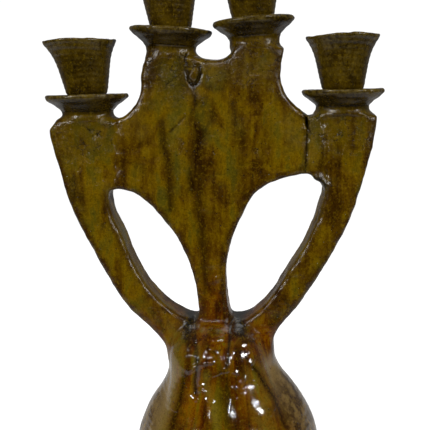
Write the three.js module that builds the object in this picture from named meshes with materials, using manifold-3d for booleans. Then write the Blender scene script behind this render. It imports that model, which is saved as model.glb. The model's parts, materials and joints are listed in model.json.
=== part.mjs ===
// A hand-built clay candelabrum in the tree-of-life form: a thrown, hollow bell carries a slab-cut
// trunk that opens into a broad crown, and a curved arm on each side. Each of the four branch tips
// ends in a clay collar, a drip pan and a flared candle cup. The pieces are modelled as the potter
// makes them, before they are luted together, with a hairline gap where the slip goes.
//
// Millimetres, +Z up. The front faces -Y and the base stands on Z = 0.
import * as THREE from "three";
import { mergeVertices } from "three/addons/utils/BufferGeometryUtils.js";
import Module from "manifold-3d";

const wasm = await Module();
wasm.setup();

// Driving dimensions.
const SLIP_GAP = 0.3; // between pieces that touch
const SLAB_DEPTH = 26; // front to back, of the trunk and the arms
const SLAB_EDGE = 3; // rounding of a slab's edges
const COIL_EDGE = 2; // the same, for the narrow coil in a joint
const SLAB_CURVE_STEPS = 2; // divisions for each point of a slab's outline
const ROUND_STEPS = 24; // facets round a cup, pan or collar

const BELL_STEPS = 36; // facets round the bell
const BELL_NECK_Z = 78; // where the domed top of the bell meets its waist
const BELL_DOME_R = 27; // the dome's profile is an arc of this radius
const BELL_DOME_OFFSET = 11.5; // from the bell's axis to that arc's centre
const BELL_WALL = 7.5;
const BELL_LEAN = { top: 3.5, foot: 10, fromZ: 86, toZ: 47 }; // the axis drifts to +X as it falls

// Tongues of clay smeared down over the bell from the trunk and the arms. Azimuth 0 is the front,
// and lengths run from top to foot, over a half width and a rise above the bell's wall.
const TONGUE_TAPER = 0.3;
const TONGUES = [
  { name: "front_left_tongue", azimuth: -42, halfWidth: 11, top: 102, foot: 50, rise: 3.6 },
  { name: "front_stem_tongue", azimuth: -7, halfWidth: 9.5, top: 103, foot: 46, rise: 4.2 },
  { name: "front_right_tongue", azimuth: 32, halfWidth: 13.5, top: 102, foot: 50, rise: 3.8 },
  { name: "back_right_tongue", azimuth: 140, halfWidth: 11, top: 102, foot: 62, rise: 3.4 },
  { name: "back_stem_tongue", azimuth: 178, halfWidth: 11, top: 103, foot: 58, rise: 3.8 },
  { name: "back_left_tongue", azimuth: 217, halfWidth: 11, top: 102, foot: 62, rise: 3.4 },
];

const COLLAR_TOP_R = 17.2;
const COLLAR_DEPTH_SHARE = 0.88; // of its width
const PAN_DROP = 9; // from a pan's rim plane to its flat underside
const PAN_NECK_R = 17.5; // radius of that underside
const CUP_FLOOR = 7; // thickness under the candle
const CUP_TRUE_TO = 12; // a cup is round below this height, and its mouth isn't quite
const CUP_OVAL = 0.02; // share of the radius
const CUP_RIM_WAVE = 0.4;

// The pad thumbed on over the crown's front face: its middle, its half sizes and its tilt in degrees.
const PAD = { x: -13.6, y: -11.5, z: 277, halfWidth: 5.6, halfDepth: 4.6, halfHeight: 12.5, tilt: 6 };

// One candle place for each branch tip: the middle of the pan's rim plane and its tilt in degrees
// (positive lifts the +X side), the pan's radius, the cup's height, how far its mouth leans to +X and
// how late up its height the lean comes, and the collar's foot.
const CANDLE_PLACES = [
  {
    name: "left_outer", x: -87.7, z: 261.3, tilt: 1.9, panR: 28.6,
    cupHeight: 38, cupLean: -3.2, leanPower: 1.8, footX: -86.6, footZ: 246, footR: 17.2,
  },
  {
    name: "left_inner", x: -29.7, z: 305, tilt: -3.6, panR: 28.2,
    cupHeight: 38, cupLean: -4.6, leanPower: 1, footX: -28.8, footZ: 288, footR: 15.8,
  },
  {
    name: "right_inner", x: 26.2, z: 311.1, tilt: 5, panR: 27.8,
    cupHeight: 38, cupLean: 0.6, leanPower: 1, footX: 27.2, footZ: 293.5, footR: 16.2,
  },
  {
    name: "right_outer", x: 86.8, z: 265, tilt: 1.5, panR: 27.8,
    cupHeight: 37, cupLean: -0.6, leanPower: 1, footX: 86.6, footZ: 249.5, footR: 18.9,
  },
];

// Outlines are seen from the front, as [x, z]. A run of two points is straight
// and a longer one is a smooth curve; runs meet at corners.
const TRUNK = [
  [[11.8, 98], [-10, 98]],
  [[-10, 98], [-10, 112]],
  [
    [-10, 112], [-11.3, 122], [-14.6, 138], [-20.5, 155.5], [-29.5, 171.5], [-43.3, 187.5], [-55, 196.5],
    [-68, 200],
  ],
  [[-68, 200], [-66, 222], [-64, 246.4]],
  [[-64, 246.4], [-53.5, 254.8], [-48.8, 266], [-48.5, 277], [-45, 288]],
  [[-45, 288], [-14, 288]],
  [[-14, 288], [-7, 286], [4, 285.6], [11, 289], [14, 293.5]],
  [[14, 293.5], [46.7, 293.5]],
  [[46.7, 293.5], [44.5, 280.5], [45, 270], [51, 258.5], [62.4, 250.4]],
  [[62.4, 250.4], [62.4, 210.6]],
  [
    [62.4, 210.6], [49, 207.4], [35, 201.2], [24, 189.7], [15, 171.5], [10, 154], [8.8, 139], [9.7, 122],
    [11.8, 106.5],
  ],
  [[11.8, 106.5], [11.8, 98]],
];
const LEFT_ARM = [
  [[-10.6, 77], [-33.5, 77]],
  [
    [-33.5, 77], [-34, 86], [-42, 98], [-56, 111.4], [-69, 128.6], [-83, 154], [-95.3, 178], [-104.3, 204.5],
    [-112.6, 238.5],
  ],
  [[-112.6, 238.5], [-106.8, 246]],
  [[-106.8, 246], [-64.6, 246]],
  [[-64.6, 246], [-66.6, 222], [-68.6, 199.6]],
  [
    [-68.6, 199.6], [-73, 195.5], [-70.6, 182], [-63.6, 166], [-56.3, 148], [-45.4, 129], [-29.6, 113],
    [-10.6, 105],
  ],
  [[-10.6, 105], [-10.6, 77]],
];
const RIGHT_ARM = [
  [[12.4, 80], [41.5, 80]],
  [
    [41.5, 80], [43, 97], [54, 112.7], [66, 130], [82, 155.5], [93.4, 181], [101.2, 206], [106.4, 230],
    [109, 249.5],
  ],
  [[109, 249.5], [72.6, 249.5]],
  [[72.6, 249.5], [76.2, 206]],
  [
    [76.2, 206], [74.6, 194], [72, 187], [69.2, 178], [62.2, 160.5], [52.2, 143], [40, 123.6], [28, 110.6],
    [12.4, 104.2],
  ],
  [[12.4, 104.2], [12.4, 80]],
];
// The coil that fills the joint between the crown and the right arm.
const JOINT_COIL = [
  [[62.9, 248.6], [62.9, 211]],
  [[62.9, 211], [75.7, 205.4]],
  [[75.7, 205.4], [72.2, 249.2]],
  [[72.2, 249.2], [62.9, 248.6]],
];

// Profiles are [radius, height].
const BELL_FOOT = [
  [38.6, 76], [39.6, 71.5], [42.4, 65], [48, 56], [54.2, 46], [59.4, 36], [63.2, 26.5], [65.3, 17], [65.1, 8],
  [63.2, 1.6], [61.4, 0],
];
const BELL_HOLLOW = [
  [54.8, 0], [55.9, 3], [57.4, 12], [56.4, 22], [52.8, 32], [47.4, 42], [41, 52], [35, 62], [31.6, 70],
  [30.8, 77],
];
const CUP_OUTSIDE = [
  [12.6, 0], [14, 2.5], [15, 7], [16.2, 13], [17.4, 19], [18.9, 25], [21, 30.2], [23.8, 34.8], [25, 36.8],
];
const CUP_INSIDE = [
  [24.4, 38], [22.9, 38], [21.3, 35.6], [18.6, 31], [16.3, 26], [14.6, 20], [13.2, 14], [12, 9.5],
  [11.3, CUP_FLOOR],
];
const CUP_PROFILE_HEIGHT = 38; // what both profiles reach up to; a shorter cup is squeezed above its floor

function pointsOf(pairs) {
  return pairs.map(([a, b]) => new THREE.Vector2(a, b));
}

function shapeOf(runs) {
  const shape = new THREE.Shape();
  shape.moveTo(...runs[0][0]);
  for (const run of runs) {
    if (run.length === 2) shape.lineTo(...run[1]);
    else shape.splineThru(pointsOf(run.slice(1)));
  }
  return shape;
}

// A slab cut to an outline, standing on edge. grow swells it on every side, to make a cutter.
function slab(runs, { edge = SLAB_EDGE, grow = 0 } = {}) {
  const geometry = new THREE.ExtrudeGeometry(shapeOf(runs), {
    depth: SLAB_DEPTH - 2 * edge + 2 * grow,
    bevelThickness: edge,
    bevelSize: edge,
    bevelOffset: grow - edge,
    bevelSegments: 2,
    curveSegments: SLAB_CURVE_STEPS,
  });
  geometry.rotateX(Math.PI / 2);
  return geometry.translate(0, SLAB_DEPTH / 2 - edge + grow, 0);
}

// A body of revolution about +Z, from its profile's points.
function turned(profile, steps = ROUND_STEPS) {
  return new THREE.LatheGeometry(profile, steps).rotateX(Math.PI / 2);
}

function solidOf(geometry) {
  const bare = geometry.clone();
  bare.deleteAttribute("normal");
  bare.deleteAttribute("uv");
  const merged = mergeVertices(bare, 1e-3);
  // A turned shape has a triangle of no area at each pole, for every facet round it.
  const corners = [];
  for (let i = 0; i < merged.index.count; i += 3) {
    const [a, b, c] = [0, 1, 2].map((k) => merged.index.getX(i + k));
    if (a !== b && b !== c && c !== a) corners.push(a, b, c);
  }
  const vertProperties = merged.attributes.position.array;
  return new wasm.Manifold(new wasm.Mesh({ numProp: 3, vertProperties, triVerts: new Uint32Array(corners) }));
}

function geometryOf(solid) {
  const { vertProperties, triVerts } = solid.getMesh();
  return new THREE.BufferGeometry()
    .setAttribute("position", new THREE.BufferAttribute(vertProperties, 3))
    .setIndex(new THREE.BufferAttribute(triVerts, 1));
}

function cut(geometry, ...cutters) {
  return geometryOf(cutters.reduce((left, cutter) => left.subtract(solidOf(cutter)), solidOf(geometry)));
}

// Moves each vertex of a geometry in place, by a function of its position.
function reshape(geometry, move) {
  const at = geometry.attributes.position;
  const point = new THREE.Vector3();
  for (let i = 0; i < at.count; i++) {
    point.fromBufferAttribute(at, i);
    move(point);
    at.setXYZ(i, point.x, point.y, point.z);
  }
  return geometry;
}

function leanBell(point) {
  point.x += THREE.MathUtils.lerp(
    BELL_LEAN.top,
    BELL_LEAN.foot,
    THREE.MathUtils.smoothstep(BELL_LEAN.fromZ - point.z, 0, BELL_LEAN.fromZ - BELL_LEAN.toZ),
  );
}

// The dome's profile, from the waist up to the axis, inset by a wall thickness.
function domeProfile(inset) {
  const radius = BELL_DOME_R - inset;
  const arc = [10, 25, 40, 55, 70, 90].map((degrees) => {
    const a = THREE.MathUtils.degToRad(degrees);
    return new THREE.Vector2(BELL_DOME_OFFSET + radius * Math.cos(a), BELL_NECK_Z + radius * Math.sin(a));
  });
  return [...arc, new THREE.Vector2(0, BELL_NECK_Z + radius)];
}

function bell() {
  const outside = [...pointsOf(BELL_FOOT).reverse(), ...domeProfile(0)];
  const inside = [...pointsOf(BELL_HOLLOW), ...domeProfile(BELL_WALL)].reverse();
  return reshape(turned([...inside, ...outside], BELL_STEPS), leanBell);
}

// The space that the bell fills, with its hollow closed, grown by the slip gap.
function bellCutter() {
  const outside = [...pointsOf(BELL_FOOT).reverse(), ...domeProfile(0)];
  const grown = outside.map((p) => new THREE.Vector2(p.x && p.x + SLIP_GAP, p.y + SLIP_GAP));
  return reshape(turned([new THREE.Vector2(0, 0), ...grown], BELL_STEPS), leanBell);
}

// The bell's outer radius at a height above its widest place.
function bellRadius(z) {
  if (z > BELL_NECK_Z) {
    return BELL_DOME_OFFSET + Math.sqrt(Math.max(0, BELL_DOME_R ** 2 - (z - BELL_NECK_Z) ** 2));
  }
  const i = BELL_FOOT.findIndex(([, height]) => height < z);
  const [[r0, z0], [r1, z1]] = i > 0 ? [BELL_FOOT[i - 1], BELL_FOOT[i]] : [BELL_FOOT[0], BELL_FOOT[1]];
  return THREE.MathUtils.mapLinear(z, z0, z1, r0, r1);
}

// A tongue of clay smeared from a slab down over the bell: a long ellipsoid laid along the bell's
// wall. It widens towards its foot.
function tongue({ azimuth, halfWidth, top, foot, rise }) {
  const geometry = new THREE.SphereGeometry(1, 12, 16).rotateX(Math.PI / 2);
  return reshape(geometry, (p) => {
    const z = THREE.MathUtils.mapLinear(p.z, -1, 1, foot, top);
    const radius = bellRadius(z) - rise * p.y;
    const around = THREE.MathUtils.degToRad(azimuth) + (p.x * halfWidth * (1 - TONGUE_TAPER * p.z)) / radius;
    p.set(radius * Math.sin(around), -radius * Math.cos(around), z);
    leanBell(p);
  });
}

// A drip pan, with its origin in the middle of its rim plane.
function pan(radius) {
  const profile = pointsOf([
    [0, -PAN_DROP], [PAN_NECK_R, -PAN_DROP], [20, -7], [24, -4.1], [radius - 0.7, -1.4], [radius, 0.1],
    [radius - 0.7, 1.6], [radius - 2.4, 1.8], [23.5, 0.8], [18, 0], [0, 0],
  ]);
  return turned(profile);
}

// A candle cup standing on its origin. Its mouth leans and is a little out of round.
function cup({ cupHeight, cupLean, leanPower }, seed) {
  const floor = new THREE.Vector2(0, CUP_FLOOR);
  const profile = [new THREE.Vector2(0, 0), ...pointsOf(CUP_OUTSIDE), ...pointsOf(CUP_INSIDE), floor];
  const squeeze = (cupHeight - CUP_FLOOR) / (CUP_PROFILE_HEIGHT - CUP_FLOOR);
  return reshape(turned(profile), (p) => {
    const up = THREE.MathUtils.smoothstep(p.z, CUP_TRUE_TO, CUP_PROFILE_HEIGHT);
    const angle = Math.atan2(p.y, p.x);
    const swell = 1 + CUP_OVAL * up * Math.sin(2 * angle + seed);
    const lean = cupLean * Math.max(0, p.z / CUP_PROFILE_HEIGHT) ** leanPower;
    const z = p.z > CUP_FLOOR ? CUP_FLOOR + (p.z - CUP_FLOOR) * squeeze : p.z;
    p.set(p.x * swell + lean, p.y * swell, z + CUP_RIM_WAVE * up * Math.sin(3 * angle + 2 * seed));
  });
}

// The collar between a branch tip and its pan, flattened a little to the slab's depth. Its foot
// stands on the slab's edge, and its top follows the pan's underside, whose middle is given.
function collar({ footX, footZ, footR, tilt }, underside) {
  const profile = pointsOf([[0, 0], [footR, 0], [COLLAR_TOP_R, 1], [0, 1]]);
  return reshape(turned(profile), (p) => {
    const share = p.z;
    const bottom = footZ + SLIP_GAP;
    const top = underside.z + p.x * Math.tan(THREE.MathUtils.degToRad(tilt)) - SLIP_GAP;
    p.x += THREE.MathUtils.lerp(footX, underside.x, share);
    p.y *= COLLAR_DEPTH_SHARE;
    p.z = THREE.MathUtils.lerp(bottom, top, share);
  });
}

function glaze(color, roughness) {
  return new THREE.MeshStandardMaterial({ color, roughness, metalness: 0 });
}
const oliveGlaze = glaze(0x5a4508, 0.35);
const amberGlaze = glaze(0x63400c, 0.2);
const smokedGlaze = glaze(0x3f3210, 0.55);

const candelabrum = new THREE.Group();
function add(name, geometry, material, parent = candelabrum) {
  const mesh = new THREE.Mesh(geometry, material);
  mesh.name = name;
  parent.add(mesh);
  return mesh;
}

add("base_bell", bell(), amberGlaze);
add("trunk_crown", cut(slab(TRUNK), bellCutter()), oliveGlaze);
add("left_arm", cut(slab(LEFT_ARM), bellCutter()), oliveGlaze);
add("right_arm", cut(slab(RIGHT_ARM), bellCutter()), oliveGlaze);
add("right_joint_coil", slab(JOINT_COIL, { edge: COIL_EDGE }), oliveGlaze);

for (const { name, ...shape } of TONGUES) {
  const cutters = [TRUNK, LEFT_ARM, RIGHT_ARM].map((runs) => slab(runs, { grow: SLIP_GAP }));
  add(name, cut(tongue(shape), bellCutter(), ...cutters), amberGlaze);
}

// Each candle place is a turned group, so its pan and cup share the pan's tilt.
CANDLE_PLACES.forEach((place, index) => {
  const tip = new THREE.Group();
  tip.position.set(place.x, 0, place.z);
  tip.rotation.y = -THREE.MathUtils.degToRad(place.tilt);
  candelabrum.add(tip);
  add(place.name + "_pan", pan(place.panR), smokedGlaze, tip);
  add(place.name + "_cup", cup(place, index), smokedGlaze, tip).position.z = SLIP_GAP;
  const underside = new THREE.Vector3(0, 0, -PAN_DROP).applyEuler(tip.rotation).add(tip.position);
  add(place.name + "_collar", collar(place, underside), oliveGlaze);
});

// The pad of clay thumbed on beside the left inner collar, over the crown's front face.
function pad() {
  const geometry = new THREE.SphereGeometry(1, 14, 12).scale(PAD.halfWidth, PAD.halfDepth, PAD.halfHeight);
  return geometry.rotateY(THREE.MathUtils.degToRad(PAD.tilt)).translate(PAD.x, PAD.y, PAD.z);
}
add("neck_pad", cut(pad(), slab(TRUNK, { grow: SLIP_GAP })), oliveGlaze);

// The frame's origin is on the table, under the middle of the whole piece.
candelabrum.updateMatrixWorld(true);
const middle = new THREE.Box3().setFromObject(candelabrum, true).getCenter(new THREE.Vector3());
candelabrum.position.set(-middle.x, -middle.y, 0);

export default candelabrum;
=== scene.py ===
"""Looks of the clay tree of life: a hand-smoothed, glazed candelabrum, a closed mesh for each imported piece.

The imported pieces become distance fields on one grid. The fields are joined as wet clay is, softly at the
luted joints and more crisply at the candle cups, then worked over with thumb marks, dents and seams.
Each piece's mesh is then taken from that shared surface, and runs on a little way under its neighbours,
so no gap shows between pieces.

Lengths are in metres, unless a comment says mm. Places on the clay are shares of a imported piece's box.
"""

import json
import math

import bpy
import numpy as np
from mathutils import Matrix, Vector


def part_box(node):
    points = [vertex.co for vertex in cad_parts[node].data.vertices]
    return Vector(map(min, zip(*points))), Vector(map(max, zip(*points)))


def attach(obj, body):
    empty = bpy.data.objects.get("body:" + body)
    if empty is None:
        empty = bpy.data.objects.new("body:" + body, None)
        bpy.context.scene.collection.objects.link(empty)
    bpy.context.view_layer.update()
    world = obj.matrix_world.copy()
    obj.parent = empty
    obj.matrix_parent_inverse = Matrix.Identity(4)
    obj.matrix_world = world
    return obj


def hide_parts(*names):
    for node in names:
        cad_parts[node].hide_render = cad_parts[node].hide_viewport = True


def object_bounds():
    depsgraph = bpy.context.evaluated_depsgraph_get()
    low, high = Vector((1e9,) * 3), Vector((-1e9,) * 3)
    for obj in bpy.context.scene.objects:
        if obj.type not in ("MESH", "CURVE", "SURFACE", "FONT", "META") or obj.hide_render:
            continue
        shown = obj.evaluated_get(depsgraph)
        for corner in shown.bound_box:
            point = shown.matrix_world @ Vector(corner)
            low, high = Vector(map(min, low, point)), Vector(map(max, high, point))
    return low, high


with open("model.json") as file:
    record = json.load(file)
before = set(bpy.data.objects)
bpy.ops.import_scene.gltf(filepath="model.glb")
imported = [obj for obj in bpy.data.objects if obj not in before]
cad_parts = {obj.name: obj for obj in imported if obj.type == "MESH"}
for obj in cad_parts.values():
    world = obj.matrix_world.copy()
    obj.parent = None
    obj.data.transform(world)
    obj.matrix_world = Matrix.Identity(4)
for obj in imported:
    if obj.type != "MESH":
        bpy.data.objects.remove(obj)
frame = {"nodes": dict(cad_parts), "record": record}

import openvdb as vdb
from mathutils import Vector

START_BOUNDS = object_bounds()
RECORD = frame["record"]
MM = 0.001
VOXEL = 0.85 * MM
BAND = 8 * MM  # how far from a surface its distance field is kept
MARGIN = 10 * MM  # round the whole object, on every side of the grid
SEED = 330

# ---------------------------------------------------------------- camera, lights and floor

LOW, HIGH = (Vector(corner) for corner in START_BOUNDS)
MIDDLE_X = (LOW.x + HIGH.x) / 2

AZIMUTH = math.radians(3.0)  # how far the camera stands to the right of the front
PITCH = math.radians(9.5)  # how far it looks down
DISTANCE = 0.525
AIM_RIGHT, AIM_UP = 0.0015, 0.1796  # where it aims: right of the middle, and above the table
SENSOR_MM, LENS_MM = 36, 62.8

FLOOR_RADIUS, FLOOR_FRONT, FLOOR_CORNERS = 0.65, -0.2, 96  # its front edge is this far along Y
FLOOR_PAINT, FLOOR_ROUGHNESS = 0.8, 0.9
FLOOR_GLOW = 0.75  # lifts the floor towards the white behind it, as the camera sees it

BACKDROP = 1.05  # the world's strength, as the camera sees it
ROOM_FROM, ROOM_TO = -0.3, 0.8  # from front to back, where the room grows brighter
ROOM_DIM, ROOM_BRIGHT = 0.01, 0.2

LIGHTS_AIM = 0.19  # where they aim, above the table
LIGHTS = [  # name, place, width and height, and power in watts
    ("key_left", (-0.98, -0.98, 0.84), (0.34, 0.09), 12),
    ("key_right", (1.10, -0.92, 0.80), (0.26, 0.08), 11.5),
    ("strip", (-0.16, -0.95, 0.98), (0.36, 0.03), 3.6),
    ("over", (0, 0.9, 1.3), (1.1, 0.8), 4.5),
]


def look_at(thing, target):
    thing.rotation_euler = (Vector(target) - thing.location).to_track_quat("-Z", "Y").to_euler()


def add_camera():
    target = Vector((MIDDLE_X + AIM_RIGHT, 0, AIM_UP))
    level = math.cos(PITCH)
    back = Vector((math.sin(AZIMUTH) * level, -math.cos(AZIMUTH) * level, math.sin(PITCH)))
    data = bpy.data.cameras.new("camera")
    data.sensor_width = SENSOR_MM
    data.lens = LENS_MM
    data.clip_start = 0.01
    camera = bpy.data.objects.new("camera", data)
    camera.location = target + back * DISTANCE
    look_at(camera, target)
    bpy.context.scene.collection.objects.link(camera)
    bpy.context.scene.camera = camera


def add_lights():
    for name, place, size, power in LIGHTS:
        data = bpy.data.lights.new(name, "AREA")
        data.shape = "RECTANGLE"
        data.size, data.size_y = size
        data.energy = power
        light = bpy.data.objects.new(name, data)
        light.location = place
        look_at(light, (MIDDLE_X, 0, LIGHTS_AIM))
        bpy.context.scene.collection.objects.link(light)


def add_floor():
    """A round, pale table top. Most of it is behind the object, so the front doesn't mirror it."""
    turns = [math.tau * i / FLOOR_CORNERS for i in range(FLOOR_CORNERS)]
    ring = [(FLOOR_RADIUS * math.cos(a), FLOOR_RADIUS * math.sin(a), 0) for a in turns]
    mesh = bpy.data.meshes.new("floor")
    mesh.from_pydata(ring, [], [tuple(range(FLOOR_CORNERS))])
    material = bpy.data.materials.new("floor_paint")
    material.use_nodes = True
    bsdf = material.node_tree.nodes["Principled BSDF"]
    bsdf.inputs["Base Color"].default_value = (FLOOR_PAINT,) * 3 + (1,)
    bsdf.inputs["Roughness"].default_value = FLOOR_ROUGHNESS
    bsdf.inputs["Specular IOR Level"].default_value = 0.0
    bsdf.inputs["Emission Color"].default_value = (1, 1, 1, 1)
    path = material.node_tree.nodes.new("ShaderNodeLightPath")
    lit = material.node_tree.nodes.new("ShaderNodeMath")
    lit.operation = "MULTIPLY"
    lit.inputs[1].default_value = FLOOR_GLOW
    material.node_tree.links.new(path.outputs["Is Camera Ray"], lit.inputs[0])
    material.node_tree.links.new(lit.outputs[0], bsdf.inputs["Emission Strength"])
    mesh.materials.append(material)
    floor = bpy.data.objects.new("floor", mesh)
    floor.location = (MIDDLE_X, FLOOR_FRONT + FLOOR_RADIUS, 0)
    bpy.context.scene.collection.objects.link(floor)


def add_world():
    """White, as the camera sees it. It lights the object from behind, and hardly at all from the front."""
    world = bpy.data.worlds.new("studio")
    bpy.context.scene.world = world
    world.use_nodes = True
    tree = world.node_tree
    nodes, links = tree.nodes, tree.links
    seen = nodes["Background"]
    seen.inputs["Color"].default_value = (1, 1, 1, 1)
    seen.inputs["Strength"].default_value = BACKDROP
    lit = nodes.new("ShaderNodeBackground")
    coordinates = nodes.new("ShaderNodeTexCoord")
    axes = nodes.new("ShaderNodeSeparateXYZ")
    links.new(coordinates.outputs["Generated"], axes.inputs[0])
    back = nodes.new("ShaderNodeMapRange")
    back.interpolation_type = "SMOOTHSTEP"
    limits = {"From Min": ROOM_FROM, "From Max": ROOM_TO, "To Min": ROOM_DIM, "To Max": ROOM_BRIGHT}
    for socket, value in limits.items():
        back.inputs[socket].default_value = value
    links.new(axes.outputs["Y"], back.inputs["Value"])
    links.new(back.outputs["Result"], lit.inputs["Strength"])
    path = nodes.new("ShaderNodeLightPath")
    mix = nodes.new("ShaderNodeMixShader")
    links.new(path.outputs["Is Camera Ray"], mix.inputs[0])
    links.new(lit.outputs[0], mix.inputs[1])
    links.new(seen.outputs[0], mix.inputs[2])
    links.new(mix.outputs[0], nodes["World Output"].inputs["Surface"])


add_camera()
add_floor()
add_world()
add_lights()
bpy.context.scene.view_settings.view_transform = "Standard"

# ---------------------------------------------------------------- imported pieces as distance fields

TURNED = ("base_bell", "_cup", "_pan", "_collar")  # ends of the names of round pieces
CREASE = math.cos(math.radians(40))  # facets that turn more than this keep their edge
ROUND_CUTS = 4  # each facet of a round piece is curved with this many cuts a side
MERGE = 0.005 * MM  # corners closer than this are one point


def triangles_of(node):
    """(points, triangles) of a CAD node, with the points that coincide merged."""
    mesh = frame["nodes"][node].data
    co = np.zeros(len(mesh.vertices) * 3, np.float32)
    mesh.vertices.foreach_get("co", co)
    co = co.reshape(-1, 3).astype(float)
    mesh.calc_loop_triangles()
    tri = np.zeros(len(mesh.loop_triangles) * 3, np.int32)
    mesh.loop_triangles.foreach_get("vertices", tri)
    key = np.round(co / MERGE).astype(np.int64)
    _, first, back = np.unique(key, axis=0, return_index=True, return_inverse=True)
    tri = back.reshape(-1)[tri].reshape(-1, 3)
    keep = (tri[:, 0] != tri[:, 1]) & (tri[:, 1] != tri[:, 2]) & (tri[:, 2] != tri[:, 0])
    return co[first], tri[keep]


def corner_normals(points, tri):
    """A normal for each triangle's corner, shared across edges that aren't creases."""
    a, b, c = (points[tri[:, k]] for k in range(3))
    area = np.cross(b - a, c - a)
    flat = area / np.maximum(np.linalg.norm(area, axis=1, keepdims=True), 1e-18)
    users = [[] for _ in range(len(points))]
    for t, corners in enumerate(tri):
        for v in corners:
            users[v].append(t)
    out = np.empty((len(tri), 3, 3))
    for t, corners in enumerate(tri):
        for k, v in enumerate(corners):
            near = np.array(users[v])
            near = near[flat[near] @ flat[t] > CREASE]
            total = area[near].sum(0)
            out[t, k] = total / np.linalg.norm(total)
    return out


def curved(points, tri):
    """The same surface, each flat facet swollen into a curved patch (a cubic, from its corner normals)."""
    normal = corner_normals(points, tri)
    p = [points[tri[:, k]] for k in range(3)]
    n = [normal[:, k] for k in range(3)]

    def edge(i, j):
        w = ((p[j] - p[i]) * n[i]).sum(1, keepdims=True)
        return (2 * p[i] + p[j] - w * n[i]) / 3

    e = {(i, j): edge(i, j) for i in range(3) for j in range(3) if i != j}
    centre = sum(p) / 3
    mean = sum(e.values()) / 6
    inner = mean + (mean - centre) / 2
    grid = {}
    out = []
    for i in range(ROUND_CUTS + 1):
        for j in range(ROUND_CUTS + 1 - i):
            u, v = i / ROUND_CUTS, j / ROUND_CUTS
            w = 1 - u - v
            grid[i, j] = len(out)
            out.append(
                p[0] * w**3 + p[1] * u**3 + p[2] * v**3
                + 3 * (e[0, 1] * w * w * u + e[1, 0] * w * u * u + e[1, 2] * u * u * v)
                + 3 * (e[2, 1] * u * v * v + e[2, 0] * w * v * v + e[0, 2] * w * w * v)
                + 6 * inner * u * v * w
            )
    local = []
    for i in range(ROUND_CUTS):
        for j in range(ROUND_CUTS - i):
            local.append((grid[i, j], grid[i + 1, j], grid[i, j + 1]))
            if i + j < ROUND_CUTS - 1:
                local.append((grid[i + 1, j], grid[i + 1, j + 1], grid[i, j + 1]))
    verts = np.stack(out, 1).reshape(-1, 3)
    faces = (np.arange(len(tri))[:, None, None] * len(out) + np.array(local)[None]).reshape(-1, 3)
    return verts, faces


TRANSFORM = vdb.createLinearTransform(voxelSize=VOXEL)
ORIGIN = np.floor((np.array(LOW) - MARGIN) / VOXEL).astype(int)
SHAPE = np.ceil((np.array(HIGH) + MARGIN) / VOXEL).astype(int) - ORIGIN + 1


class Block:
    """A box of grid points, as slices of the whole grid."""

    def __init__(self, low, high, pad=BAND):
        lo = np.floor((np.array(low) - pad) / VOXEL).astype(int) - ORIGIN
        hi = np.ceil((np.array(high) + pad) / VOXEL).astype(int) - ORIGIN + 1
        self.lo, self.hi = np.maximum(lo, 0), np.minimum(hi, SHAPE)
        self.cut = tuple(slice(a, b) for a, b in zip(self.lo, self.hi))
        self.shape = tuple(self.hi - self.lo)
        self.corner = tuple(int(v) for v in self.lo + ORIGIN)

    def axes(self):
        """x, y and z of its grid points, each ready to spread over the block."""
        lines = [(np.arange(a, b) + o) * VOXEL for a, b, o in zip(self.lo, self.hi, ORIGIN)]
        return lines[0][:, None, None], lines[1][None, :, None], lines[2][None, None, :]


def distance_field(node, block):
    points, tri = triangles_of(node)
    if node.endswith(TURNED):
        points, tri = curved(points, tri)
    grid = vdb.FloatGrid.createLevelSetFromPolygons(
        points.astype(np.float32),
        triangles=tri.astype(np.uint32),
        transform=TRANSFORM,
        halfWidth=BAND / VOXEL,
    )
    out = np.full(block.shape, BAND, np.float32)
    grid.copyToArray(out, ijk=block.corner)
    return out


def soft_min(a, b, reach):
    """The lower of two fields, filled in by up to reach / 4 where they are alike, as a smeared joint is."""
    h = np.clip(1 - np.abs(a - b) / reach, 0, 1)
    return np.minimum(a, b) - h * h * (reach / 4)


def blurred(field, sigma):
    """A field smoothed with a bell curve of width sigma."""
    s = sigma / VOXEL
    reach = max(1, int(math.ceil(2.5 * s)))
    weights = np.exp(-0.5 * (np.arange(-reach, reach + 1) / s) ** 2)
    weights /= weights.sum()
    for axis in range(3):
        padded = np.pad(field, [(reach, reach) if k == axis else (0, 0) for k in range(3)], mode="edge")
        total = np.zeros_like(field)
        for k, weight in enumerate(weights):
            cut = [slice(None)] * 3
            cut[axis] = slice(k, k + field.shape[axis])
            total += np.float32(weight) * padded[tuple(cut)]
        field = total
    return field


SIDES = ("left_outer", "left_inner", "right_inner", "right_outer")
JOIN = {  # how softly each piece is worked into the pieces before it
    "base_bell": 1 * MM,
    "trunk_crown": 5 * MM,
    "left_arm": 5 * MM,
    "right_arm": 5 * MM,
    "right_joint_coil": 3 * MM,
    "front_left_tongue": 9 * MM,
    "front_stem_tongue": 9 * MM,
    "front_right_tongue": 9 * MM,
    "back_left_tongue": 9 * MM,
    "back_stem_tongue": 9 * MM,
    "back_right_tongue": 9 * MM,
    **{side + "_collar": 6 * MM for side in SIDES},
    "neck_pad": 2 * MM,
    **{side + "_pan": 3 * MM for side in SIDES},
    **{side + "_cup": 1.5 * MM for side in SIDES},
}
NODES = list(JOIN)
BOXES = {node: [np.array(corner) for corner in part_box(node)] for node in NODES}
THIN = [node for node in NODES if node.endswith(("_pan", "_cup"))]
BELL, CROWN = "base_bell", "trunk_crown"

SMEAR = 2.8 * MM  # how far the tongues are rubbed out over the bell
SMEAR_FADE_FROM, SMEAR_FADE_OVER = 0.78, 0.27  # shares of the bell's height, where that fades out upwards
SLIP_JOIN = 1.5 * MM  # how softly slip fills a joint
HAND_SMOOTHING = 0.9 * MM  # of everything but the cups and pans
WATER_SMOOTHING = 0.5 * MM  # of everything, after that


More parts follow.
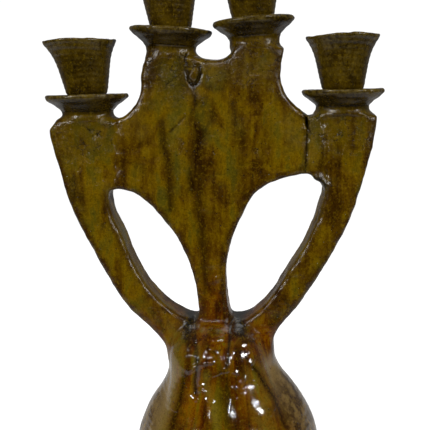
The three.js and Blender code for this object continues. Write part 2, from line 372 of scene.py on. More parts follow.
def smear_bell():
    """Rubs the tongues of clay away into the bell, below where the arms leave it."""
    low, high = BOXES[BELL]
    block = Block(low, high)
    z = block.axes()[2]
    fade = np.clip((z / high[2] - SMEAR_FADE_FROM) / SMEAR_FADE_OVER, 0, 1)
    share = (1 - fade).astype(np.float32)
    field = clay[block.cut]
    clay[block.cut] = field + share * (blurred(field, SMEAR) - field)


def fill_joint(node, across, under, ends):
    """Fills the grooves beside a piece with slip, a little under its faces and short of its ends."""
    low, high = BOXES[node]
    middle = (low + high) / 2
    half = (high - low) / 2 + np.array([across, -under, -ends])
    block = Block(low, high)
    x, y, z = block.axes()
    gaps = [np.abs(v - m) - h for v, m, h in zip((x, y, z), middle, half)]
    slip = np.maximum(np.maximum(gaps[0], gaps[1]), gaps[2]).astype(np.float32)
    clay[block.cut] = soft_min(clay[block.cut], slip, SLIP_JOIN)


blocks = {node: Block(*BOXES[node]) for node in NODES}
fields = {node: distance_field(node, blocks[node]) for node in NODES}
clay = np.full(SHAPE, BAND, np.float32)
nearest = clay.copy()
second = clay.copy()
thin = clay.copy()
owner = np.full(SHAPE, -1, np.int8)
for index, node in enumerate(NODES):
    cut, field = blocks[node].cut, fields[node]
    if node == THIN[0]:
        fill_joint("right_joint_coil", across=5 * MM, under=0.1 * MM, ends=7 * MM)
        smear_bell()
        clay = blurred(clay, HAND_SMOOTHING)
    clay[cut] = soft_min(clay[cut], field, JOIN[node])
    closer = field < nearest[cut]
    second[cut] = np.where(closer, nearest[cut], np.minimum(second[cut], field))
    owner[cut] = np.where(closer, index, owner[cut])
    nearest[cut] = np.minimum(nearest[cut], field)
    if node in THIN:
        thin[cut] = np.minimum(thin[cut], field)
clay = blurred(clay, WATER_SMOOTHING)


def past_own(node):
    """How much further each point is from this piece than from the nearest other, over the piece's block."""
    cut = blocks[node].cut
    return fields[node] - np.where(owner[cut] == NODES.index(node), second[cut], nearest[cut])


# ---------------------------------------------------------------- hand work on the clay


class Noise:
    """Smooth random values from -1 to 1, on a lattice that repeats."""

    SIZE = 64

    def __init__(self, seed):
        self.values = np.random.default_rng(SEED + seed).uniform(-1, 1, (self.SIZE,) * 3).astype(np.float32)

    def __call__(self, points, scale):
        q = (points / np.asarray(scale)).astype(np.float32)
        i = np.floor(q).astype(np.int32)
        f = q - i
        f = f * f * f * (f * (f * 6 - 15) + 10)
        total = np.zeros(len(points), np.float32)
        for corner in range(8):
            bits = np.array([(corner >> k) & 1 for k in range(3)])
            at = (i + bits) % self.SIZE
            weight = np.prod(np.where(bits, f, 1 - f), axis=1)
            total += weight * self.values[at[:, 0], at[:, 1], at[:, 2]]
        return total


def smooth_step(x, low, high):
    t = np.clip((x - low) / (high - low), 0, 1)
    return t * t * (3 - 2 * t)


def spot(node, across, up):
    """A place on the front of a node, as (x, z), from shares of its box."""
    low, high = BOXES[node]
    return (low + np.array([across, 0, up]) * (high - low))[[0, 2]]


def off_line(x, z, line):
    """Distance from (x, z) to a broken line of (x, z) points."""
    best = np.full(np.broadcast(x, z).shape, 1e3)
    for (ax, az), (bx, bz) in zip(line[:-1], line[1:]):
        dx, dz = bx - ax, bz - az
        t = np.clip(((x - ax) * dx + (z - az) * dz) / (dx * dx + dz * dz), 0, 1)
        best = np.minimum(best, np.hypot(x - ax - t * dx, z - az - t * dz))
    return best


FRONT_FADE = 6 * MM  # how far in front of the middle a mark reaches its full depth


def press(line, width, depth):
    """Presses a mark into the front of the clay along a line, or raises one if the depth is negative."""
    line = np.array(line)
    reach = 2.5 * width  # the mark has died away by there
    low = (line[:, 0].min() - reach, LOW.y, line[:, 1].min() - reach)
    high = (line[:, 0].max() + reach, HIGH.y, line[:, 1].max() + reach)
    block = Block(low, high, pad=0)
    x, y, z = block.axes()
    mark = depth * np.exp(-((off_line(x, z, line) / width) ** 2)) * smooth_step(-y, 0, FRONT_FADE)
    clay[block.cut] += mark.astype(np.float32)


def press_all(node, marks, sign=1):
    """Presses marks into a node: each is a line of places on its box, and a width and a depth in mm."""
    for line, width, depth in marks:
        press([spot(node, *place) for place in line], width * MM, sign * depth * MM)


WORK_DEPTH = 5 * MM  # how far from the surface the clay is worked
THIN_KEEPS = 0.3  # share of the unevenness that the cups and pans have
CALM_ON_BELL = 0.35  # share of the middling unevenness that the rubbed bell has; it has none of the finest
LUMPS = [  # left by the hands: a noise's seed, its size and its height in mm
    (1, 34, 0.75),
    (2, 15, 0.5),
    (3, 6.5, 0.3),
    (6, 3.0, 0.3),
]
RING_DEPTH, RING_WAVE = 0.11, 0.55  # throwing rings on the cups and pans, in mm
BELL_RING_DEPTH, BELL_RING_WAVE, BELL_RING_SLANT = 0.04, 0.75, 0.12  # wider, slanted ones on the bell

band = np.argwhere(np.abs(clay) < WORK_DEPTH)
points = (band + ORIGIN) * VOXEL
high_up = points[:, 2]
sturdy = smooth_step(thin[tuple(band.T)], 0, 7 * MM)  # 0 on the cups and pans, 1 on the slabs and the bell
bell_low, bell_high = BOXES[BELL]
BELL_X = (bell_low[0] + bell_high[0]) / 2
BELL_R = (bell_high[0] - bell_low[0]) / 2
SHOULDER = bell_high[2]
calm = CALM_ON_BELL + (1 - CALM_ON_BELL) * smooth_step(high_up, SHOULDER * 0.8, SHOULDER * 1.2)
worked = (THIN_KEEPS + (1 - THIN_KEEPS) * sturdy) * sum(
    share * height * MM * Noise(seed)(points, size * MM)
    for share, (seed, size, height) in zip((1, calm, calm, calm - CALM_ON_BELL), LUMPS)
)
wander = Noise(4)(points, 25 * MM)
worked += (1 - sturdy) * RING_DEPTH * MM * np.sin(high_up / (RING_WAVE * MM) + 3 * wander)
on_bell = smooth_step(-high_up, -SHOULDER * 0.85, -SHOULDER * 0.6)
on_bell *= smooth_step(np.abs(points[:, 0] - BELL_X), 12 * MM, 40 * MM)
slanted = high_up + BELL_RING_SLANT * points[:, 0]
worked += on_bell * BELL_RING_DEPTH * MM * np.sin(slanted / (BELL_RING_WAVE * MM) + 4 * wander)
clay[tuple(band.T)] += worked.astype(np.float32)

# Grooves where the pad and the cups meet their neighbours, and how deep they are in mm.
GROOVE_WIDTH = 1.6 * MM
GROOVE_DEPTHS = {"neck_pad": 0.9, **{side + "_cup": 0.5 for side in SIDES}}
for node, depth in GROOVE_DEPTHS.items():
    groove = depth * MM * np.exp(-((past_own(node) / GROOVE_WIDTH) ** 2))
    clay[blocks[node].cut] += groove.astype(np.float32)

PAD_EDGE = [
    (0.386, 0.977), (0.380, 0.925), (0.394, 0.888), (0.416, 0.866),
    (0.442, 0.880), (0.455, 0.910), (0.450, 0.94),
]
ARM_SEAM = [(0.975, 0.79), (0.992, 0.757), (1.004, 0.716), (0.998, 0.67), (1.003, 0.62), (0.994, 0.57)]
SCRATCH = [(0.294, 0.707), (0.336, 0.735), (0.378, 0.764)]
CROWN_MARKS = [
    (PAD_EDGE, 0.9, 1.0),
    ([(0.417, 0.95), (0.417, 0.90)], 3.6, 1.0),  # the thumbed middle of the pad
    ([(0.41, 0.875), (0.43, 0.83), (0.434, 0.8)], 0.9, 0.6),  # the tail of the pad's seam
    (SCRATCH, 0.8, 0.25),
    ([(0.335, 0.672), (0.336, 0.665)], 4.5, 0.7),  # a dimple and the ridge above it
    ([(0.335, 0.690), (0.345, 0.690)], 1.6, -0.6),
    ([(0.448, 0.825), (0.449, 0.821)], 2.0, -0.9),  # two lumps
    ([(0.543, 0.176), (0.543, 0.170)], 1.7, -0.9),
    ([(0.74, 0.64), (0.741, 0.635)], 2.0, 0.5),  # a small pit
    (ARM_SEAM, 0.8, 1.1),
]
press_all(CROWN, CROWN_MARKS)

# A curl scraped into the top of the left arm.
CURL_R = 3 * MM
curl_middle = spot("left_arm", 0.33, 0.93)
curl = [curl_middle + CURL_R * np.array([math.cos(a), 0.7 * math.sin(a)]) for a in np.linspace(0.2, 3.4, 6)]
press(curl, width=0.8 * MM, depth=0.5 * MM)

# A dark lump of clay squeezed out under the joint, and a chip on the arm below it.
corner = spot("right_joint_coil", 0.75, 0.0)
lump = [corner + np.array(shift) * MM for shift in ((-3, 1), (2, -2))]
chip = [corner + np.array(shift) * MM for shift in ((0.5, -22), (-1.5, -27))]
press(lump, width=3.4 * MM, depth=-2.6 * MM)
press(chip, width=2.2 * MM, depth=1.0 * MM)

# Wrinkles where the clay was smeared down over the bell's shoulder, with their heights for depths.
WRINKLES = [
    ([(0.313, 0.94), (0.332, 0.929), (0.346, 0.937)], 0.9, 0.5),
    ([(0.410, 0.902), (0.438, 0.895)], 1.7, 0.9),
    ([(0.426, 0.949), (0.479, 0.949)], 0.8, 0.45),
    ([(0.289, 0.844), (0.336, 0.851), (0.366, 0.839)], 1.1, 0.7),
    ([(0.350, 0.845), (0.331, 0.822)], 0.9, 0.5),
    ([(0.301, 0.748), (0.349, 0.793), (0.389, 0.822), (0.428, 0.827)], 1.3, 0.9),
    ([(0.435, 0.746), (0.474, 0.767), (0.513, 0.771)], 1.1, 0.55),
    ([(0.496, 0.817), (0.509, 0.796)], 1.2, 0.7),
    ([(0.535, 0.766), (0.557, 0.753)], 1.1, 0.6),
    ([(0.575, 0.689), (0.597, 0.719)], 1.2, 0.65),
    ([(0.536, 0.667), (0.553, 0.645), (0.581, 0.634)], 1.2, 0.7),
    ([(0.367, 0.678), (0.395, 0.678)], 0.9, 0.45),
    ([(0.356, 0.639), (0.379, 0.649), (0.399, 0.637)], 1.0, 0.5),
    ([(0.341, 0.580), (0.352, 0.588)], 0.9, 0.4),
    ([(0.403, 0.590), (0.437, 0.585)], 1.0, 0.4),
    ([(0.612, 0.90), (0.618, 0.862)], 1.2, 0.55),
    ([(0.641, 0.825), (0.63, 0.803)], 1.2, 0.55),
    ([(0.675, 0.908), (0.657, 0.921), (0.581, 0.92)], 1.0, 0.5),
]
press_all(BELL, WRINKLES, sign=-1)

# Grooves that the glaze ran down and filled.
LEFT_GROOVE = [(0.319, 1.01), (0.333, 0.919), (0.354, 0.84), (0.343, 0.723), (0.339, 0.62)]
RIGHT_GROOVE = [(0.522, 1.011), (0.510, 0.93), (0.507, 0.796)]
press_all(BELL, [(LEFT_GROOVE, 2.2, 0.9), (RIGHT_GROOVE, 1.6, 0.8)])

NICKS_EACH = 9
NICK_SIZES, NICK_DEPTHS = (1.0, 2.4), (0.3, 0.9)  # mm
PAN_NICK_DROP = 2 * MM  # below the top of a pan's box


def nick_rims():
    """Small chips and dents round the mouth of each cup and the edge of each pan."""
    random = np.random.default_rng(SEED)
    for node in THIN:
        low, high = BOXES[node]
        centre, half = (low + high) / 2, (high - low) / 2
        level = high[2] if node.endswith("_cup") else high[2] - PAN_NICK_DROP
        for _ in range(NICKS_EACH):
            a = random.uniform(0, math.tau)
            size = random.uniform(*NICK_SIZES) * MM
            depth = random.uniform(*NICK_DEPTHS) * MM
            at = np.array([centre[0] + half[0] * math.cos(a), centre[1] + half[1] * math.sin(a), level])
            block = Block(at, at, pad=3 * size)
            x, y, z = block.axes()
            near = ((x - at[0]) ** 2 + (y - at[1]) ** 2 + (z - at[2]) ** 2) / size**2
            clay[block.cut] += (depth * np.exp(-near)).astype(np.float32)


nick_rims()

# ---------------------------------------------------------------- what the glaze does, point by point

# How far the surface stands out from its surroundings, near by and more widely.
fine_curve = blurred(clay, 1.6 * MM) - clay
broad_curve = blurred(clay, 4.0 * MM) - clay


def sampled(field, points):
    """A grid field's values at points, by straight interpolation."""
    q = points / VOXEL - ORIGIN
    i = np.clip(np.floor(q).astype(int), 0, SHAPE - 2)
    f = q - i
    total = np.zeros(len(points))
    for corner in range(8):
        bits = np.array([(corner >> k) & 1 for k in range(3)])
        at = i + bits
        total += np.prod(np.where(bits, f, 1 - f), axis=1) * field[at[:, 0], at[:, 1], at[:, 2]]
    return total


LEFT_RUN = [(0.275, 0.984), (0.304, 0.902), (0.302, 0.775), (0.268, 0.601), (0.227, 0.424), (0.2, 0.2)]
LEFT_WINDOW_EDGE = [(-0.025, 0.50), (0.01, 0.40), (0.06, 0.295), (0.125, 0.21), (0.20, 0.13), (0.33, 0.065)]
RIGHT_WINDOW_EDGE = [(1.092, 0.53), (1.065, 0.425), (0.972, 0.28), (0.83, 0.155), (0.69, 0.075)]

# Where glaze of one kind gathered on the front: broken lines of places on a node's box, the half
# width of each line in mm, and its strength. Pools reach round to the back.
STROKES = {
    "runs": [
        (CROWN, [(0.384, 0.947), (0.387, 0.902), (0.415, 0.872), (0.42, 0.80), (0.414, 0.743)], 1.9, 1.0),
        (CROWN, [(0.414, 0.743), (0.447, 0.705), (0.435, 0.66), (0.424, 0.613), (0.412, 0.503)], 4.2, 1.0),
        (CROWN, [(0.443, 0.60), (0.443, 0.46), (0.463, 0.32), (0.484, 0.13)], 3.6, 0.8),
        (CROWN, [(0.257, 0.743), (0.256, 0.674), (0.288, 0.597), (0.298, 0.503), (0.301, 0.43)], 3.0, 0.85),
        (CROWN, [(0.781, 0.767), (0.804, 0.691), (0.761, 0.614)], 3.6, 0.3),
        (CROWN, [(0.801, 0.902), (0.813, 0.857)], 2.0, 0.4),
        (CROWN, [(0.654, 0.70), (0.656, 0.573), (0.621, 0.465)], 4.6, 0.35),
        (CROWN, [(0.975, 0.79), (0.998, 0.75), (1.008, 0.716), (1.002, 0.67), (1.0, 0.59)], 1.5, 0.85),
        (CROWN, [(1.076, 0.691), (1.084, 0.599), (1.06, 0.53)], 2.4, 0.75),
        (CROWN, SCRATCH, 1.0, 0.6),
        (CROWN, PAD_EDGE, 1.1, 1.0),
        (CROWN, [(0.385, 0.16), (0.41, 0.02)], 2.4, 0.6),
        (CROWN, [(0.565, 0.30), (0.565, 0.16), (0.575, 0.02)], 1.2, 0.8),
        (CROWN, [(0.47, 0.22), (0.475, 0.02)], 1.8, 0.5),
        (CROWN, [(0.62, 0.20), (0.60, 0.02)], 2.4, 0.75),
        (BELL, LEFT_RUN, 2.6, 0.9),
        (BELL, [(0.485, 0.756), (0.509, 0.637), (0.533, 0.522), (0.545, 0.433), (0.55, 0.2)], 6.5, 0.85),
        (BELL, [(0.60, 0.86), (0.63, 0.789), (0.687, 0.681), (0.744, 0.564), (0.812, 0.388)], 1.7, 0.9),
        (BELL, [(0.395, 0.60), (0.40, 0.45), (0.39, 0.2)], 1.3, 0.5),
    ],
    "moss": [
        (CROWN, [(0.26, 0.947), (0.276, 0.91), (0.281, 0.872)], 5.0, 0.7),
        (CROWN, [(0.349, 0.962), (0.348, 0.872), (0.33, 0.797)], 5.0, 0.8),
        (CROWN, [(0.459, 0.902), (0.537, 0.865), (0.559, 0.91)], 5.0, 0.7),
        (CROWN, [(0.47, 0.804), (0.481, 0.744), (0.475, 0.69)], 6.0, 0.8),
        (CROWN, [(0.626, 0.767), (0.648, 0.706)], 5.0, 0.55),
        (CROWN, [(0.311, 0.635), (0.322, 0.565)], 5.0, 0.5),
        ("left_arm", [(0.10, 0.85), (0.14, 0.72), (0.20, 0.60)], 7.0, 0.5),
        ("right_arm", [(0.70, 0.42), (0.52, 0.26), (0.30, 0.17)], 6.0, 0.6),
        ("left_arm", [(0.62, 0.26), (0.75, 0.17)], 6.0, 0.6),
    ],
    "pale": [
        (CROWN, [(0.526, 0.902), (0.515, 0.947)], 5.0, 0.7),
        (CROWN, [(0.154, 0.697), (0.122, 0.766)], 5.0, 0.4),
        (CROWN, [(0.914, 0.752), (0.926, 0.691)], 6.0, 0.6),
        (CROWN, [(0.335, 0.743), (0.301, 0.674)], 5.0, 0.35),
        (CROWN, [(1.03, 0.76), (1.035, 0.60)], 4.0, 0.6),
        (CROWN, LEFT_WINDOW_EDGE, 3.6, 0.8),
        (CROWN, RIGHT_WINDOW_EDGE, 3.6, 0.8),
        (BELL, [(0.395, 0.748), (0.413, 0.633), (0.444, 0.541), (0.458, 0.431), (0.46, 0.2)], 3.4, 0.85),
        (BELL, [(0.647, 0.735), (0.676, 0.612), (0.687, 0.504), (0.699, 0.415), (0.7, 0.2)], 8.0, 0.8),
        (BELL, [(0.204, 0.947), (0.233, 0.803), (0.204, 0.596), (0.167, 0.375), (0.15, 0.2)], 7.5, 0.9),
    ],
    "scab": [
        (CROWN, [(0.448, 0.826), (0.449, 0.82)], 2.6, 1.0),
        (CROWN, [(0.34, 0.659), (0.341, 0.65)], 3.6, 0.7),
        (CROWN, [(0.614, 0.823), (0.615, 0.818)], 2.4, 0.5),
        (CROWN, [(0.744, 0.641), (0.745, 0.636)], 1.8, 0.5),
        (CROWN, [(0.515, 0.945), (0.526, 0.902)], 4.0, 0.7),
        (CROWN, [(1.0, 0.78), (1.02, 0.72)], 3.0, 0.9),
    ],
    "pool": [
        (CROWN, [(0.40, 0.02), (0.385, 0.0)], 7.0, 1.0),
        (CROWN, [(0.655, 0.02), (0.67, 0.0)], 7.0, 1.0),
        (BELL, LEFT_GROOVE, 1.9, 0.8),
        (BELL, RIGHT_GROOVE, 1.6, 0.8),
        ("right_joint_coil", [(0.55, 0.02), (0.9, -0.05)], 3.4, 0.9),
    ],
}
COLLARS = [BOXES[side + "_collar"] for side in SIDES]
STEM_SHIFT = -4 * MM  # from the bell's middle to the stem's
STEM_NEAR, STEM_FAR = 14 * MM, 34 * MM  # from the stem's middle, where its amber fades out sideways


def glaze_masks(verts):
    """Masks from 0 to 1 for the glaze's nodes, and the direction that it ran in."""
    x, y, z = verts.T
    broad = sampled(broad_curve, verts) / MM
    fine = sampled(fine_curve, verts) / MM
    near_thin = 1 - smooth_step(sampled(thin, verts), 0.5 * MM, 7.5 * MM)
    bell = 1 - smooth_step(z, SHOULDER * 0.88, SHOULDER * 1.02)

    # The amber of the bell fades out upwards, higher on the stem than on the arms.
    stem = smooth_step(-np.abs(x - BELL_X - STEM_SHIFT), -STEM_FAR, -STEM_NEAR)
    low_down = 1 - smooth_step(z, SHOULDER * 0.85, SHOULDER * (1.3 + 0.4 * stem))

    # Down the slabs the glaze runs straight, and on the bell it fans out along the wall.
    out = np.stack([x - BELL_X, y], 1)
    out *= (BELL_R * 0.75 / np.maximum(np.hypot(out[:, 0], out[:, 1]), 5 * MM))[:, None]
    fan = np.stack([out[:, 0] + BELL_X, out[:, 1], z], 1)
    flow = verts + (fan - verts) * bell[:, None]

    front = smooth_step(-y, 6 * MM, 11 * MM)
    wobble = Noise(5)(verts, 9 * MM) * 1.2 * MM
    strokes = {}
    for name, lines in STROKES.items():
        total = np.zeros(len(verts))
        for node, line, width, strength in lines:
            d = off_line(x + wobble, z, [spot(node, *p) for p in line])
            total = np.maximum(total, strength * np.exp(-((d / (width * MM)) ** 2)))
        strokes[name] = total * (1 if name == "pool" else front)

    # Crusty glaze round each branch tip, through the whole slab.
    crust = np.zeros(len(verts))
    for low, high in COLLARS:
        d = np.hypot(x - (low[0] + high[0]) / 2, (z - low[2]) * 0.9)
        crust = np.maximum(crust, 1 - smooth_step(d, 14 * MM, 36 * MM))
    pad_line = [spot("neck_pad", 0.5, 0.2), spot("neck_pad", 0.5, 0.8)]
    on_pad = np.exp(-((off_line(x, z, pad_line) / (7 * MM)) ** 2))

    # The sides of the bell, given a painted reflection: the bright room behind mirrors in the glaze at a
    # slant, painted lighter and greyer, and lighter still where the light falls off.
    sideways = np.abs(x - BELL_X) / np.maximum(np.hypot(x - BELL_X, y), 5 * MM)
    side = smooth_step(sideways, 0.66, 0.88) * (1 - smooth_step(z, SHOULDER * 0.68, SHOULDER * 0.86))
    return {
        "flow": flow,
        "edge": smooth_step(broad, 0.25, 1.1) * (1 - near_thin) * (1 - on_pad),
        "rim": smooth_step(fine, 0.25, 0.6),  # these two from how many mm the surface stands out or lies in
        "hollow": smooth_step(-fine, 0.04, 0.35),
        "smoke": near_thin,
        "amber": low_down,
        "wet": bell,
        "crust": crust * (1 - near_thin),
        "side": side,
        **strokes,
    }


# ---------------------------------------------------------------- glaze


def tint(red, green, blue):
    """A linear colour, with an alpha of 1, from display values out of 255."""

    def linear(c):
        return c / 255 / 12.92 if c < 11 else ((c / 255 + 0.055) / 1.055) ** 2.4

    return linear(red), linear(green), linear(blue), 1


# The ramps' stops, then single colours.
OLIVE = [
    (0.41, tint(57, 34, 0)),
    (0.47, tint(86, 59, 0)),
    (0.535, tint(112, 86, 0)),
    (0.61, tint(88, 77, 10)),
]
HONEY = [
    (0.41, tint(54, 20, 0)),
    (0.47, tint(98, 46, 0)),
    (0.53, tint(124, 78, 0)),
    (0.60, tint(108, 92, 8)),
]
SMOKED = [
    (0.38, tint(24, 16, 0)),
    (0.46, tint(40, 28, 0)),
    (0.53, tint(60, 44, 0)),
    (0.62, tint(80, 62, 4)),
]
HAIR = [(0.36, (0.55, 0.52, 0.4, 1)), (0.52, (1, 1, 1, 1))]  # multiplied in, as the grain is
GRAIN = [(0.32, (0.35, 0.32, 0.25, 1)), (0.5, (1, 1, 1, 1))]
# The third of these is a painted reflection, for the sides of the bell.
MOSS, PALE, SIDE_SHEEN = tint(60, 58, 14), tint(112, 94, 26), tint(146, 120, 68)
RUN, BURNT, POOLED = tint(38, 19, 0), tint(54, 30, 0), tint(22, 23, 20)
# The second of these is painted shade for the hollows, and it also stands for glaze pooled in them.
WORN_RIM, HOLLOW_SHADE_AND_POOL, DULL_CRUST = tint(100, 84, 36), tint(24, 16, 4), tint(44, 32, 0)
LIFTED, GRIT, CRACK, PINHOLE = tint(134, 108, 12), tint(150, 128, 52), tint(18, 12, 0), tint(16, 10, 0)
IOR = {"smoked_glaze": 1.36, "olive_glaze": 1.4, "amber_glaze": 1.52}
BUMP = 0.4 * MM  # the depth of the materials' relief


class Graph:
    """Small helpers to lay out a material's nodes."""

    def __init__(self, tree):
        self.tree = tree

    def put(self, socket, value):
        if isinstance(value, bpy.types.NodeSocket):
            self.tree.links.new(value, socket)
        else:
            socket.default_value = value

    def node(self, kind, **settings):
        made = self.tree.nodes.new("ShaderNode" + kind)
        for name, value in settings.items():
            setattr(made, name, value)
        return made

    def mask(self, name):
        return self.node("Attribute", attribute_name=name).outputs["Fac"]

    def vector(self, name):
        return self.node("Attribute", attribute_name=name).outputs["Vector"]

    def math(self, operation, a, b=0.0, clamp=False):
        made = self.node("Math", operation=operation, use_clamp=clamp)
        self.put(made.inputs[0], a)
        self.put(made.inputs[1], b)
        return made.outputs[0]

    def stretch(self, vector, scale):
        made = self.node("VectorMath", operation="MULTIPLY")
        self.put(made.inputs[0], vector)
        made.inputs[1].default_value = scale
        return made.outputs[0]

    def noise(self, vector, size, detail=2.0, rough=0.5, warp=0.0):
        made = self.node("TexNoise")
        self.put(made.inputs["Vector"], vector)
        made.inputs["Scale"].default_value = 1 / size
        made.inputs["Detail"].default_value = detail
        made.inputs["Roughness"].default_value = rough
        made.inputs["Distortion"].default_value = warp
        return made.outputs["Fac"]

    def warped(self, vector, size, amount):
        made = self.node("TexNoise")
        self.put(made.inputs["Vector"], vector)
        made.inputs["Scale"].default_value = 1 / size
        shift = self.node("VectorMath", operation="SCALE")
        self.put(shift.inputs[0], made.outputs["Color"])
        shift.inputs["Scale"].default_value = amount
        total = self.node("VectorMath", operation="ADD")
        self.put(total.inputs[0], vector)
        self.put(total.inputs[1], shift.outputs[0])
        return total.outputs[0]

    def cells(self, vector, size, feature="F1"):
        made = self.node("TexVoronoi", feature=feature)
        self.put(made.inputs["Vector"], vector)
        made.inputs["Scale"].default_value = 1 / size
        return made.outputs["Distance"]

    def band(self, value, low, high, to_low=0.0, to_high=1.0):
        made = self.node("MapRange", interpolation_type="SMOOTHSTEP")
        sockets = ("Value", "From Min", "From Max", "To Min", "To Max")
        for socket, setting in zip(sockets, (value, low, high, to_low, to_high)):
            self.put(made.inputs[socket], setting)
        return made.outputs["Result"]

    def mix(self, amount, a, b, blend="MIX"):
        made = self.node("Mix", data_type="RGBA", blend_type=blend)
        self.put(made.inputs[0], amount)
        self.put(made.inputs[6], a)
        self.put(made.inputs[7], b)
        return made.outputs[2]

    def ramp(self, value, stops):
        made = self.node("ValToRGB")
        elements = made.color_ramp.elements
        while len(elements) < len(stops):
            elements.new(0.5)
        for element, (position, color) in zip(elements, stops):
            element.position = position
            element.color = color
        self.put(made.inputs[0], value)
        return made.outputs["Color"]


def smoked_color(g, place):
    """The half-bare, mottled glaze of the cups and pans."""
    mottle = g.math("MULTIPLY", g.noise(place, 18 * MM, 3, 0.5, 0.4), 0.7)
    fine = g.noise(g.stretch(place, (1, 1, 0.4)), 3 * MM, 4, 0.6)
    return g.ramp(g.math("ADD", mottle, g.math("MULTIPLY", fine, 0.3)), SMOKED)


def run_color(g, place):
    """Glaze that ran down: wide soft bands with narrower streaks in them, broken up by blotches."""
    flow = g.vector("flow")
    amber, wet = g.mask("amber"), g.mask("wet")
    wide = g.noise(g.stretch(flow, (1, 1, 0.25)), 17 * MM, 2, 0.5)
    narrow = g.noise(g.stretch(flow, (1, 1, 0.07)), 3.6 * MM, 2, 0.5)
    blotch = g.noise(g.stretch(place, (1, 1, 0.6)), 11 * MM, 5, 0.6, 0.5)
    streaky = g.band(wet, 0.0, 1.0, 0.15, 0.3)
    tone = g.math("ADD", g.math("MULTIPLY", wide, 0.4), g.math("MULTIPLY", narrow, streaky))
    tone = g.math("ADD", tone, g.math("MULTIPLY", blotch, g.math("SUBTRACT", 0.6, streaky)))
    color = g.mix(amber, g.ramp(tone, OLIVE), g.ramp(tone, HONEY))

    # Where it pooled, thinned or burnt: mossy and pale areas, dark runs and brown edges. The bell's sides get
    # a painted reflection, lighter and greyer.
    patchy = g.band(g.noise(place, 5 * MM, 4, 0.6), 0.35, 0.65, 0.45, 1.0)
    bloom = g.band(g.noise(place, 17 * MM, 3, 0.55), 0.55, 0.72, 0, 0.5)
    bloom = g.math("MULTIPLY", bloom, g.math("SUBTRACT", 1.0, amber))
    bloom = g.math("MAXIMUM", bloom, g.mask("moss"))
    color = g.mix(g.math("MULTIPLY", bloom, patchy), color, MOSS)
    color = g.mix(g.math("MULTIPLY", g.mask("pale"), patchy), color, PALE)
    # Painted reflection: the bell's sides lightened and greyed, as if the bright room mirrors in them at a
    # slant.
    side_sheen = g.math("MULTIPLY", g.mask("side"), g.band(blotch, 0.35, 0.6, 0.75, 0.95))
    color = g.mix(side_sheen, color, SIDE_SHEEN)
    streaked = g.math("MULTIPLY", g.mask("runs"), g.band(narrow, 0.3, 0.55, 0.65, 1.0), True)
    color = g.mix(streaked, color, RUN)
    burnt = g.band(g.noise(place, 8 * MM, 3, 0.6), 0.38, 0.6, 0.25, 0.95)
    burnt = g.math("MULTIPLY", g.mask("edge"), burnt)
    burnt = g.math("MULTIPLY", burnt, g.math("SUBTRACT", 1.0, g.mask("pale")))
    return g.mix(burnt, color, BURNT)


def flaws(g, place, gritty):
    """Masks of the grit, the crackle and the pinholes. The last two gather where the glaze is gritty."""
    grit = g.band(g.noise(place, 1.3 * MM, 4, 0.8), 0.57, 0.68)
    border = g.cells(g.warped(place, 3 * MM, 2.5 * MM), 5 * MM, "DISTANCE_TO_EDGE")
    crack = g.band(border, 0.0, 0.05, 1.0, 0.0)
    crack = g.math("MULTIPLY", crack, g.band(g.noise(place, 7 * MM, 2, 0.5), 0.48, 0.6))
    crack = g.math("MULTIPLY", crack, g.band(gritty, 0.04, 0.22))
    spread = g.math("ADD", g.noise(place, 9 * MM, 1, 0.5), g.math("MULTIPLY", gritty, 0.25))
    pinhole = g.band(g.cells(place, 3.4 * MM), 0.08, 0.16, 1.0, 0.0)
    pinhole = g.math("MULTIPLY", pinhole, g.band(spread, 0.48, 0.58))
    return grit, crack, pinhole


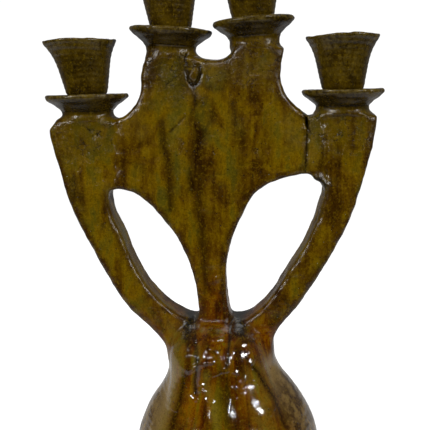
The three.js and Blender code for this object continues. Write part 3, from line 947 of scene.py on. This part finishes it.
def glaze(name):
    material = bpy.data.materials.new(name)
    material.use_nodes = True
    g = Graph(material.node_tree)
    bsdf = material.node_tree.nodes["Principled BSDF"]
    place = g.node("TexCoord").outputs["Object"]
    smoke, wet = g.mask("smoke"), g.mask("wet")
    gritty = g.math("MAXIMUM", g.math("MULTIPLY", g.mask("crust"), 0.25), g.mask("scab"))
    grit, crack, pinhole = flaws(g, place, gritty)
    grain = g.noise(place, 1.1 * MM, 4, 0.75)

    color = run_color(g, place)
    color = g.mix(g.math("MULTIPLY", smoke, 0.9), color, smoked_color(g, place))
    worn = g.math("MULTIPLY", g.mask("rim"), g.band(g.noise(place, 3 * MM, 3, 0.6), 0.42, 0.6, 0.1, 0.8))
    color = g.mix(g.math("MULTIPLY", worn, smoke), color, WORN_RIM)
    # Painted shade darkens the hollows and creases, where the glaze also pooled darker.
    color = g.mix(g.math("MULTIPLY", g.mask("hollow"), 0.55), color, HOLLOW_SHADE_AND_POOL)
    color = g.mix(g.mask("pool"), color, POOLED)
    color = g.mix(g.math("MULTIPLY", g.mask("crust"), 0.4), color, DULL_CRUST)

    # Fine brush strokes, specks and flaws over everything.
    hair = g.noise(g.stretch(place, (1, 1, 0.2)), 1.0 * MM, 3, 0.6)
    color = g.mix(0.4, color, g.ramp(hair, HAIR), "MULTIPLY")
    color = g.mix(0.85, color, g.ramp(grain, GRAIN), "MULTIPLY")
    lift = g.band(g.noise(place, 1.7 * MM, 5, 0.7), 0.5, 0.72, 0, 0.45)
    color = g.mix(lift, color, LIFTED)
    color = g.mix(g.math("MULTIPLY", grit, g.math("MULTIPLY", gritty, 0.85)), color, GRIT)
    color = g.mix(g.math("MULTIPLY", crack, 0.85), color, CRACK)
    color = g.mix(g.math("MULTIPLY", pinhole, 0.9), color, PINHOLE)
    g.put(bsdf.inputs["Base Color"], color)

    # Glossiest on the bell, and duller on the cups, the pans and the slabs' edges.
    rough = g.band(grain, 0.3, 0.7, 0.14, 0.24)
    rough = g.math("ADD", rough, g.math("MULTIPLY", smoke, 0.04))
    rough = g.math("SUBTRACT", rough, g.math("MULTIPLY", wet, 0.12))
    rough = g.math("ADD", rough, g.math("MULTIPLY", g.mask("edge"), 0.06))
    rough = g.math("MAXIMUM", rough, 0.05)
    g.put(bsdf.inputs["Roughness"], rough)
    bsdf.inputs["IOR"].default_value = IOR[name]

    # A lively skin, calmer where it is wet or smoked, with pits and cracks sunk in it and grit raised.
    calmer = g.band(wet, 0.0, 1.0, 1.0, 0.25)
    calmer = g.math("MULTIPLY", calmer, g.band(smoke, 0.0, 1.0, 1.0, 0.55))
    height = g.math("MULTIPLY", g.noise(place, 2.6 * MM, 5, 0.62), calmer)
    height = g.math("ADD", height, g.math("MULTIPLY", pinhole, -0.6))
    height = g.math("ADD", height, g.math("MULTIPLY", grit, g.math("MULTIPLY", gritty, 0.8)))
    height = g.math("SUBTRACT", height, g.math("MULTIPLY", crack, 0.8))
    bump = g.node("Bump")
    bump.inputs["Strength"].default_value = 1.0
    bump.inputs["Distance"].default_value = BUMP
    g.put(bump.inputs["Height"], height)
    g.put(bsdf.inputs["Normal"], bump.outputs["Normal"])
    return material


SLOTS = {row["node"]: row["material_slot"] for row in RECORD["subparts"]}
glazes = {slot: glaze(slot) for slot in sorted(set(SLOTS.values()))}

# ---------------------------------------------------------------- meshes

RUN_UNDER = 2.2 * MM  # how far a piece runs on under its neighbours
SINK_SLOWLY, SINK_FAST = 0.35 * MM, 4 * MM  # how deep it has sunk by there


def piece_field(node):
    """The shared surface, over the node's own share of it, sinking away beyond."""
    beyond = np.clip(past_own(node), 0, None) / RUN_UNDER
    return clay[blocks[node].cut] + SINK_SLOWLY * beyond**2 + SINK_FAST * beyond**4


def largest_part(verts, quads):
    """Drops any island of faces but the largest."""
    label = np.arange(len(verts))
    while True:
        low = label[quads].min(1)
        after = label.copy()
        for k in range(4):
            np.minimum.at(after, quads[:, k], low)
        after = after[after]
        if (after == label).all():
            break
        label = after
    of_quad = label[quads[:, 0]]
    names, counts = np.unique(of_quad, return_counts=True)
    quads = quads[of_quad == names[counts.argmax()]]
    used, quads = np.unique(quads, return_inverse=True)
    return verts[used], quads.reshape(-1, 4)


def surface_of(node):
    """(points, four-sided faces) of a node's closed mesh, with its faces pointing out."""
    field = np.clip(piece_field(node), -BAND, BAND)
    for axis in range(3):
        ends = [slice(None)] * 3
        for end in (0, -1):
            ends[axis] = end
            field[tuple(ends)] = BAND
    grid = vdb.FloatGrid(BAND)
    grid.transform = TRANSFORM
    grid.gridClass = vdb.GridClass.LEVEL_SET
    grid.copyFromArray(field, ijk=blocks[node].corner)
    verts, quads = grid.convertToQuads()
    verts, quads = largest_part(verts.astype(float), quads.astype(np.int64))
    a, b, c, d = (verts[quads[:, k]] for k in range(4))
    volume = (np.cross(c - a, d - b) * (a + b + c + d)).sum()
    return verts, quads if volume > 0 else quads[:, ::-1]


def add_piece(node):
    verts, quads = surface_of(node)
    mesh = bpy.data.meshes.new("clay_" + node)
    mesh.from_pydata(verts.tolist(), [], quads.tolist())
    mesh.validate()
    mesh.polygons.foreach_set("use_smooth", np.ones(len(mesh.polygons), bool))
    for name, values in glaze_masks(verts).items():
        kind = "FLOAT" if values.ndim == 1 else "FLOAT_VECTOR"
        field = "value" if values.ndim == 1 else "vector"
        mesh.attributes.new(name, kind, "POINT").data.foreach_set(field, values.astype(np.float32).ravel())
    mesh.materials.append(glazes[SLOTS[node]])
    piece = bpy.data.objects.new("clay_" + node, mesh)
    bpy.context.scene.collection.objects.link(piece)
    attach(piece, "root")
    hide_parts(node)


for node in NODES:
    add_piece(node)
